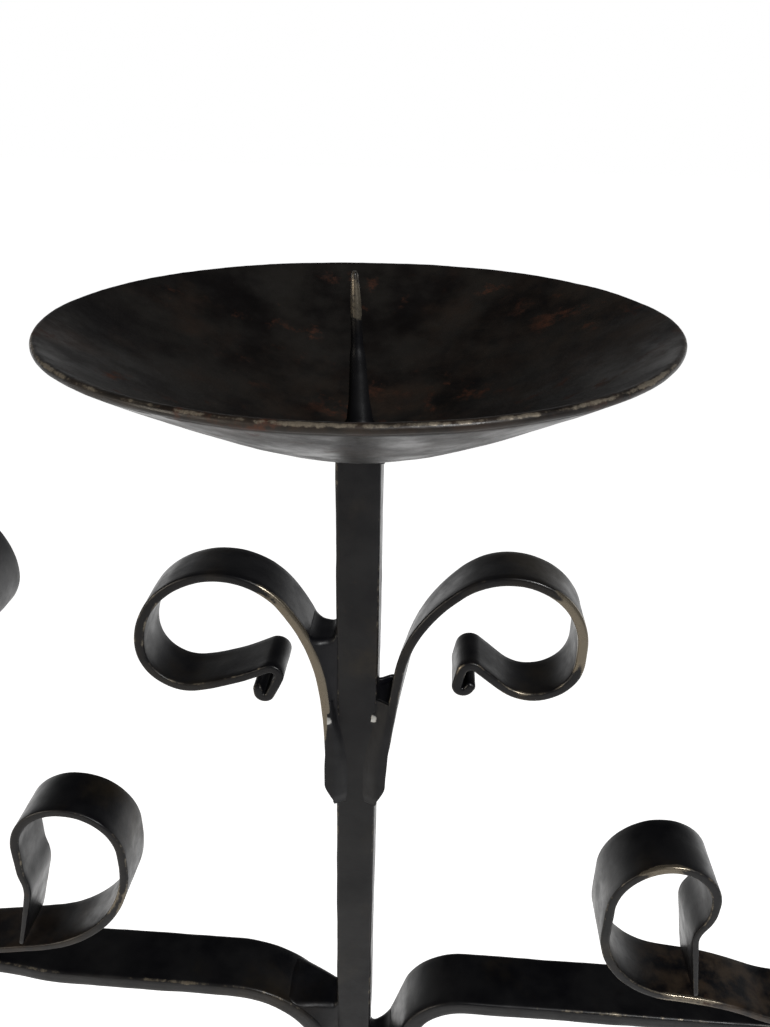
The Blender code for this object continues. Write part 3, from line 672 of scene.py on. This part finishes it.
def skin_bead(node, centre_x, side, out, face, thick, edge_half, low, high, blob, material, seed):
    """A flat run of weld over the joint: from the stem's face across onto the strip's edge.

    It sinks into the iron at its borders. blob is the x and z of its high spot, where a highlight is painted.
    """
    stem_half = stem / 2.0
    rows = []
    for j in range(SKIN_ROWS + 1):
        v = j / SKIN_ROWS
        z = low + (high - low) * v
        near = max(face_at(face, z), stem_half + GAP)
        narrow = soft_step((v - SKIN_FULL_TO) / (1.0 - SKIN_FULL_TO))
        inner = stem_half - SKIN_ON_STEM * (1.0 - SKIN_NARROWS * narrow)
        full = near + (thick + SKIN_PAST_STRIP) * soft_step((z - low) / SKIN_BEVEL)
        outer = full + (near + SKIN_TOP_ON_STRIP * thick - full) * narrow
        flat_from = stem_half - SKIN_FLAT_ON_STEM * (1.0 - narrow)
        ramp_to = near + SKIN_RAMP_ON_STRIP * (1.0 - narrow)
        ends = soft_step(min(1.0, v / SKIN_ENDS[0], (1.0 - v) / SKIN_ENDS[1]))
        row = []
        for i in range(SKIN_COLUMNS + 1):
            u = i / SKIN_COLUMNS
            x = inner + (outer - inner) * u
            base = stem_half + (edge_half - stem_half) * soft_step((x - flat_from) / (ramp_to - flat_from))
            fall = soft_step(u / SKIN_SIDE_FADE) * ends
            lift = SKIN_STANDS * fall - SKIN_SINKS * (1.0 - fall)
            lift += SKIN_LUMPS[0] * lumps((x, out, z), SKIN_LUMPS[1], seed) * fall
            spot = math.exp(-((x - blob[0]) ** 2 + (z - blob[1]) ** 2) / BLOB_R ** 2)
            lift += BLOB_UP * spot
            # the high spot's raised wear paints a highlight in the weld's near-white worn colour
            row.append((centre_x + side * x, out * (base + lift), z, BLOB_PAINTED_GLINT * spot))
        rows.append(row)
    grid_skin(node, rows, material, -out * SKIN_BACK)


# The strips' bends -----------------------------------------------------------------------------------
def as_moves(shape):
    """Lines from their lengths, and arcs from their radius and turn, left turns positive; in mm, degrees."""
    return [("arc", part[0] * MM, part[1]) if isinstance(part, tuple) else ("line", part * MM)
            for part in shape]


def scroll_moves(kind):
    """From the tail on the stem, up and out, round and back, to the folded lip."""
    return as_moves({
        "tight": (4.0, (80.0, -9.0), 22.0, (36.0, -38.0), 1.5, (16.1, -133.0), 3.2, (10.3, -129.0), 7.4,
                  (2.2, 118.0), 3.6, (1.4, 160.0), 1.0),
        "open": (13.0, (150.0, -8.0), (45.0, -29.0), (17.5, -53.0), (19.2, -90.0), (10.5, -102.0),
                 (60.0, -14.0), 2.7, (2.0, 141.0), 5.0, (1.4, 150.0), 1.2),
        "wide": (5.0, (77.0, -43.0), (18.1, -137.0), (11.5, -125.0), 12.0,
                 (2.2, 125.0), 4.5, (1.4, 150.0), 1.2),
        "small": (24.0, (52.0, -34.0), (15.0, -146.0), 1.0, (9.5, -125.0), 6.0,
                  (2.2, 125.0), 3.5, (1.4, 150.0), 1.2),
    }[kind])


def arm_root_moves(word):
    """Up along the stem and outwards."""
    return as_moves({"left": (43.0, (27.7, -90.0)),
                     "right": (21.0, (60.0, -17.0), 22.6, (16.0, -73.0))}[word])


def arm_scroll_moves(word):
    """From the tail on the arm, in towards the stem, up, over and down to a lip on the strip."""
    return as_moves({
        "right": ((30.0, -20.0), 4.0, (60.0, 14.0), 6.7, (22.6, -84.0), 8.9, (16.0, -65.0),
                  (11.7, -115.0), 2.0, (12.0, -30.0), (9.0, 40.0), 19.5),
        "left": (6.0, (60.0, -11.0), 15.2, (34.5, -79.0), 3.5, (14.2, -180.0), 7.5,
                 (14.0, -14.0), (14.0, 28.0), 18.5),
    }[word])


def half_bow_moves(crown):
    """From the middle of a bow's crown down to one toe."""
    slope = math.radians(BOW_LEG_SLOPE)
    arcs = (BOW_SHOULDER_R + BOW_ANKLE_R) * (1.0 - math.cos(slope))
    leg = (crown - ARM_T / 2.0 - arcs) / math.sin(slope)
    return [("line", BOW_FLAT_HALF), ("arc", BOW_SHOULDER_R, -BOW_LEG_SLOPE), ("line", leg),
            ("arc", BOW_ANKLE_R, BOW_LEG_SLOPE), ("line", BOW_SOLE), ("arc", BOW_TOE_R, BOW_TOE_ANGLE)]


# The object's pieces ---------------------------------------------------------------------------------
def make_light(light, seed):
    iron, dish, weld = materials["iron"], materials["dish"], materials["weld"]
    low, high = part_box(f"{light}_stem")
    centre_x = (low.x + high.x) / 2.0
    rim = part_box(f"{light}_pan")[1].z
    forged_bar(f"{light}_stem", centre_x, low.z, high.z, stem / 2.0, iron, seed)
    forged_pan(f"{light}_pan", centre_x, rim, dish, seed + 0.1)
    forged_spike(f"{light}_spike", centre_x, rim, SPIKE_LEAN[light], iron, seed + 0.2)
    lumpy_weld(f"{light}_pan_weld", weld, seed + 0.3)
    lumpy_weld(f"{light}_stem_foot_weld", weld, seed + 0.4)
    tail = rim - SCROLL_TAIL_DROP
    start = (stem / 2.0 + GAP + SCROLL_T / 2.0, tail)
    for word, side, kind in zip(("left", "right"), (-1.0, 1.0), SCROLL_KINDS[light]):
        node = f"{light}_scroll_{word}"
        stations = walk(start, 90.0, scroll_moves(kind))
        forged_strip(node, stations, SCROLL_W, SCROLL_T, iron,
                     seed + 0.5 + 0.1 * side, centre_x=centre_x, side=side, thin_tail=SCROLL_TAIL_THIN,
                     tail_share=SCROLL_TAIL_END, twist=SCROLL_TWIST[kind], painted_glints=SCROLL_PAINTED_GLINTS[word])
        face = inner_face(stations, SCROLL_T)
        web_weld(f"{node}_weld", centre_x, side, face, tail + WEB_FOOT_UP, rim - SCROLL_NOTCH_DROP[word],
                 SCROLL_W / 2.0 - SCROLL_WEB_INSET, SCROLL_NOTCH_R, 0.0, weld, seed + 0.7 + 0.1 * side)
        blob = (stem / 2.0 + BLOB_FROM_STEM[word], rim - BLOB_DROP)
        for name, out in (("front", -1.0), ("back", 1.0)):
            skin_bead(f"{node}_bead_{name}", centre_x, side, out, face, SCROLL_T, SCROLL_W / 2.0,
                      tail - SKIN_FOOT_DOWN, rim - SKIN_TOP_DROP, blob, weld, seed + 0.9 + 0.1 * side)


def make_arm(word, side, seed):
    iron, weld = materials["iron"], materials["weld"]
    start = (stem / 2.0 + GAP + ARM_T / 2.0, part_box(f"{word}_arm")[0].z)
    light_x = abs(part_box(f"{word}_stem")[0].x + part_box(f"{word}_stem")[1].x) / 2.0
    root = walk(start, 90.0, arm_root_moves(word))
    run = light_x + stem - root[-1][0]
    outer = [("line", run)]
    if word == "left":
        rise_run = 2.0 * LEFT_ARM_RISE_R * math.sin(math.radians(LEFT_ARM_RISE_ANGLE))
        before = LEFT_ARM_RISE_X - root[-1][0]
        outer = [("line", before), ("arc", LEFT_ARM_RISE_R, LEFT_ARM_RISE_ANGLE),
                 ("arc", LEFT_ARM_RISE_R, -LEFT_ARM_RISE_ANGLE), ("line", run - before - rise_run)]
    moves = arm_root_moves(word) + outer + [("arc", ARM_END_ROLL_R, -ARM_END_ROLL_ANGLE)]
    forged_strip(f"{word}_arm", walk(start, 90.0, moves), ARM_W, ARM_T, iron, seed, side=side,
                 thin_tail=ARM_TAIL_THIN, thin_tip=ARM_TIP_THIN, across=10)
    web_weld(f"{word}_arm_weld", 0.0, side, inner_face(root, ARM_T), start[1] + WEB_FOOT_UP,
             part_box("centre_pan")[1].z - ARM_NOTCH_DROP[word], ARM_W / 2.0 - ARM_WEB_INSET,
             ARM_NOTCH_R[word], ARM_NOTCH_SLOPE[word], weld, seed + 0.2)
    for face in ("front", "back"):
        lumpy_weld(f"{word}_arm_weld_{face}", weld, seed + 0.1)
    scroll_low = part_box(f"{word}_arm_scroll")[0].z
    start = (ARM_SCROLL_TAIL_X, scroll_low + ARM_SCROLL_T / 2.0)
    forged_strip(f"{word}_arm_scroll", walk(start, 180.0, arm_scroll_moves(word)), ARM_SCROLL_W[word],
                 ARM_SCROLL_T, iron, seed + 0.3, side=side, thin_tip=ARM_SCROLL_TIP_THIN, across=9,
                 painted_glints=ARM_SCROLL_PAINTED_GLINTS[word], rusty=ARM_SCROLL_RUST[word])
    lumpy_weld(f"{word}_arm_scroll_weld", weld, seed + 0.4)


def make_bow(node, turn, seed):
    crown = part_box(node)[1].z - ARM_T / 2.0
    half = walk((0.0, crown), 0.0, half_bow_moves(crown))
    length = half[-1][3]
    other = [(-x, z, -angle, length - travelled) for x, z, angle, travelled in reversed(half)]
    stations = other + [(x, z, angle, length + travelled) for x, z, angle, travelled in half[1:]]
    forged_strip(node, stations, ARM_W, ARM_T, materials["iron"], seed, turn=turn,
                 thin_tail=BOW_END_THIN, thin_tip=BOW_END_THIN, across=10, inwards=BOW_INWARDS)


# Materials -------------------------------------------------------------------------------------------
def set_range(node, way_in, way_out):
    """Set a Map Range node's lowest and highest value, coming in and going out."""
    for key, number in zip(("From Min", "From Max", "To Min", "To Max"), (*way_in, *way_out)):
        node.inputs[key].default_value = number


class Nodes:
    """Short ways to add shader nodes to one material."""

    def __init__(self, name):
        self.material = bpy.data.materials.new(name)
        self.material.use_nodes = True
        self.tree = self.material.node_tree
        self.shader = self.tree.nodes["Principled BSDF"]

    def add(self, kind, **values):
        node = self.tree.nodes.new(kind)
        for key, value in values.items():
            setattr(node, key, value)
        return node

    def link(self, source, target):
        self.tree.links.new(source, target)

    def place(self):
        return self.add("ShaderNodeTexCoord").outputs["Object"]

    def noise(self, scale, detail=4.0, roughness=0.55):
        node = self.add("ShaderNodeTexNoise")
        node.inputs["Scale"].default_value = scale
        node.inputs["Detail"].default_value = detail
        node.inputs["Roughness"].default_value = roughness
        self.link(self.place(), node.inputs["Vector"])
        return node.outputs["Fac"]

    def between(self, value, low, high, to_low=0.0, to_high=1.0):
        node = self.add("ShaderNodeMapRange", interpolation_type="SMOOTHSTEP")
        set_range(node, (low, high), (to_low, to_high))
        self.link(value, node.inputs["Value"])
        return node.outputs["Result"]

    def maths(self, operation, first, second):
        node = self.add("ShaderNodeMath", operation=operation)
        for socket, value in zip(node.inputs, (first, second)):
            if isinstance(value, float):
                socket.default_value = value
            else:
                self.link(value, socket)
        return node.outputs["Value"]

    def add_up(self, first, second):
        return self.maths("ADD", first, second)

    def times(self, first, second):
        return self.maths("MULTIPLY", first, second)

    def attribute(self, name):
        return self.add("ShaderNodeAttribute", attribute_name=name).outputs["Fac"]

    def mix(self, share, first, second):
        node = self.add("ShaderNodeMix", data_type="RGBA")
        self.link(share, node.inputs["Factor"])
        for socket, value in ((node.inputs[6], first), (node.inputs[7], second)):
            if isinstance(value, tuple):
                socket.default_value = (*value, 1.0)
            else:
                self.link(value, socket)
        return node.outputs[2]

    def bump(self, height, strength, distance, below=None):
        node = self.add("ShaderNodeBump")
        node.inputs["Strength"].default_value = strength
        node.inputs["Distance"].default_value = distance
        self.link(height, node.inputs["Height"])
        if below is not None:
            self.link(below, node.inputs["Normal"])
        return node.outputs["Normal"]


def iron_material(name, dark, light, tint, brown, rust, rust_share, worn_and_glint_colour, rub, roughness, grain):
    """Waxed black iron: mottled black, brown tints, rust, bare metal where the edges are worn, and painted
    highlights in the same worn colour where the wear attribute is raised for them.

    rust_share lowers the noise level from which rust shows, and rub is the level from which
    the metal is bare and painted highlights show. grain is the strength of the skin's relief.
    """
    n = Nodes(name)
    mottled = n.mix(n.between(n.noise(70.0, detail=5.0), 0.35, 0.68), dark, light)
    tinted = n.between(n.noise(38.0, detail=6.0, roughness=0.6), 0.52, 0.72, to_high=0.85)
    colour = n.mix(tinted, mottled, tint)

    stain = n.attribute("stain")
    stain_breaks = n.between(n.noise(190.0, detail=7.0, roughness=0.62), 0.36, 0.66)
    colour = n.mix(n.times(n.times(stain, stain_breaks), 0.9), colour, brown)

    rust_grains = n.add_up(n.noise(160.0, detail=8.0, roughness=0.68), n.times(stain, 0.10))
    rust_patches = n.add_up(n.noise(45.0, detail=4.0), n.times(stain, 0.12))
    rusted = n.times(n.between(rust_grains, 0.62 - rust_share, 0.76 - rust_share),
                     n.between(rust_patches, 0.46, 0.66))
    colour = n.mix(rusted, colour, rust)

    # worn colour: real scuffs at the edges, and painted highlights where the wear attribute is raised past
    # the threshold
    scuffs = n.add_up(n.times(n.noise(420.0, detail=7.0, roughness=0.7), 1.1),
                      n.times(n.noise(60.0, detail=5.0), 1.0))
    worn_and_glinting = n.between(n.add_up(n.attribute("wear_and_glint"), scuffs), rub, rub + 0.30)
    n.link(n.mix(worn_and_glinting, colour, worn_and_glint_colour), n.shader.inputs["Base Color"])
    n.link(n.times(worn_and_glinting, 0.75), n.shader.inputs["Metallic"])

    uneven = n.between(n.noise(120.0, detail=6.0, roughness=0.65), 0.30, 0.70,
                       to_low=roughness - 0.10, to_high=roughness + 0.12)
    rough = n.add_up(uneven, n.times(rusted, 0.25))
    n.link(n.maths("SUBTRACT", rough, n.times(worn_and_glinting, 0.12)), n.shader.inputs["Roughness"])
    n.shader.inputs["Specular IOR Level"].default_value = 0.35

    fine = n.bump(n.noise(900.0, detail=6.0, roughness=0.7), 0.35, 0.05 * MM * grain)
    coarse = n.bump(n.noise(260.0, detail=5.0, roughness=0.6), 0.40, 0.14 * MM * grain, fine)
    n.link(coarse, n.shader.inputs["Normal"])
    return n.material


def make_materials():
    return {
        # the iron's worn colour is bare metal and also the painted tan lit edge and highlights on the
        # scrolls' front edges
        "iron": iron_material("forged_black_iron",
                              dark=(0.0022, 0.0022, 0.0035), light=(0.009, 0.009, 0.010),
                              tint=(0.022, 0.017, 0.011), brown=(0.060, 0.042, 0.028),
                              rust=(0.045, 0.020, 0.010), rust_share=0.0,
                              worn_and_glint_colour=(0.22, 0.19, 0.145), rub=2.05, roughness=0.38, grain=1.0),
        "dish": iron_material("beaten_dish_iron",
                              dark=(0.005, 0.004, 0.004), light=(0.020, 0.018, 0.016),
                              tint=(0.028, 0.018, 0.013), brown=(0.048, 0.032, 0.022),
                              rust=(0.070, 0.026, 0.014), rust_share=0.06,
                              worn_and_glint_colour=(0.36, 0.31, 0.24), rub=1.98, roughness=0.40, grain=1.8),
        # the weld's near-white worn colour is scuffed weld metal and also the painted glint on the skin
        # beads' high spots
        "weld": iron_material("weld_metal",
                              dark=(0.002, 0.002, 0.003), light=(0.004, 0.004, 0.006),
                              tint=(0.010, 0.007, 0.005), brown=(0.050, 0.035, 0.024),
                              rust=(0.040, 0.018, 0.010), rust_share=0.0,
                              worn_and_glint_colour=(0.60, 0.60, 0.58), rub=1.9, roughness=0.42, grain=1.0),
    }


# Stage -----------------------------------------------------------------------------------------------
def make_floor():
    """A pale floor that glows behind the object and stays dim in front of it."""
    mesh = bpy.data.meshes.new("floor")
    corners = [(x * FLOOR_HALF, y * FLOOR_HALF) for x, y in ((-1, -1), (1, -1), (1, 1), (-1, 1))]
    mesh.from_pydata([(x, y, cad_bounds[0][2] - FLOOR_BELOW) for x, y in corners], [], [(0, 1, 2, 3)])
    floor = bpy.data.objects.new("floor", mesh)
    bpy.context.scene.collection.objects.link(floor)
    n = Nodes("pale_floor")
    n.shader.inputs["Base Color"].default_value = (FLOOR_PALE, FLOOR_PALE, FLOOR_PALE, 1.0)
    n.shader.inputs["Roughness"].default_value = 0.9
    n.shader.inputs["Specular IOR Level"].default_value = 0.1
    n.shader.inputs["Emission Color"].default_value = (1.0, 1.0, 1.0, 1.0)
    parts = n.add("ShaderNodeSeparateXYZ")
    glow = n.add("ShaderNodeMapRange", interpolation_type="SMOOTHSTEP")
    set_range(glow, *FLOOR_GLOW)
    n.link(n.place(), parts.inputs["Vector"])
    n.link(parts.outputs["Y"], glow.inputs["Value"])
    n.link(glow.outputs["Result"], n.shader.inputs["Emission Strength"])
    mesh.materials.append(n.material)


def make_camera():
    pan_low, pan_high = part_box("centre_pan")
    rim_centre = Vector(((pan_low.x + pan_high.x) / 2.0, (pan_low.y + pan_high.y) / 2.0, pan_high.z))
    tilt, swing, roll = (math.radians(v) for v in (CAMERA_TILT, CAMERA_PAN, CAMERA_ROLL))
    ahead = Vector((math.sin(swing) * math.cos(tilt), math.cos(swing) * math.cos(tilt), -math.sin(tilt)))
    level = Vector((math.cos(swing), -math.sin(swing), 0.0))
    up = level.cross(ahead)
    right = level * math.cos(roll) + up * math.sin(roll)
    up = up * math.cos(roll) - level * math.sin(roll)
    data = bpy.data.cameras.new("camera")
    data.lens = CAMERA_LENS
    data.sensor_width = SENSOR
    data.clip_start = NEAREST_SEEN
    camera = bpy.data.objects.new("camera", data)
    axes = Matrix((right, up, -ahead)).transposed()
    camera.matrix_world = Matrix.Translation(rim_centre + CAMERA_OFFSET) @ axes.to_4x4()
    bpy.context.scene.collection.objects.link(camera)
    bpy.context.scene.camera = camera


def make_lights():
    for name, place, size, energy, colour, shadows in LIGHTS:
        data = bpy.data.lights.new(name, "AREA")
        data.energy = energy
        data.size = size
        data.color = colour
        data.use_shadow = shadows
        light = bpy.data.objects.new(name, data)
        light.location = place
        light.rotation_euler = (Vector(LIGHTS_AIM) - Vector(place)).to_track_quat("-Z", "Y").to_euler()
        bpy.context.scene.collection.objects.link(light)


def make_world():
    """White to look at; the light it gives is brightest low down behind and weakest in front."""
    world = bpy.data.worlds.new("studio")
    world.use_nodes = True
    tree = world.node_tree
    tree.nodes.clear()
    output = tree.nodes.new("ShaderNodeOutputWorld")
    seen = tree.nodes.new("ShaderNodeBackground")
    seen.inputs["Color"].default_value = (1.0, 1.0, 1.0, 1.0)
    lit = tree.nodes.new("ShaderNodeBackground")
    ways = tree.nodes.new("ShaderNodeTexCoord")
    parts = tree.nodes.new("ShaderNodeSeparateXYZ")
    tree.links.new(ways.outputs["Generated"], parts.inputs["Vector"])
    low = tree.nodes.new("ShaderNodeMapRange")
    back = tree.nodes.new("ShaderNodeMapRange")
    set_range(low, *WORLD_BY_HEIGHT)
    set_range(back, *WORLD_BY_DEPTH)
    tree.links.new(parts.outputs["Z"], low.inputs["Value"])
    tree.links.new(parts.outputs["Y"], back.inputs["Value"])
    both = tree.nodes.new("ShaderNodeMath")
    both.operation = "MULTIPLY"
    tree.links.new(low.outputs["Result"], both.inputs[0])
    tree.links.new(back.outputs["Result"], both.inputs[1])
    tree.links.new(both.outputs["Value"], lit.inputs["Strength"])
    path = tree.nodes.new("ShaderNodeLightPath")
    choose = tree.nodes.new("ShaderNodeMixShader")
    tree.links.new(path.outputs["Is Camera Ray"], choose.inputs["Fac"])
    tree.links.new(lit.outputs["Background"], choose.inputs[1])
    tree.links.new(seen.outputs["Background"], choose.inputs[2])
    tree.links.new(choose.outputs["Shader"], output.inputs["Surface"])
    bpy.context.scene.world = world


# The scene -------------------------------------------------------------------------------------------
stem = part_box("centre_stem")[1].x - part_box("centre_stem")[0].x
pan_r = (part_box("centre_pan")[1].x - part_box("centre_pan")[0].x) / 2.0
materials = make_materials()
for number, light_name in enumerate(("centre", "left", "right")):
    make_light(light_name, 1.0 + 10.0 * number)
for number, (arm_word, arm_side) in enumerate((("left", -1.0), ("right", 1.0))):
    make_arm(arm_word, arm_side, 40.0 + 10.0 * number)
make_bow("lower_bow", 0.0, 60.0)
make_bow("upper_bow", math.radians(90.0), 70.0)
for number, bow_word in enumerate(("left", "right")):
    lumpy_weld(f"bow_weld_{bow_word}", materials["weld"], 80.0 + number)
make_floor()
make_camera()
make_lights()
make_world()
bpy.context.scene.view_settings.view_transform = "Standard"
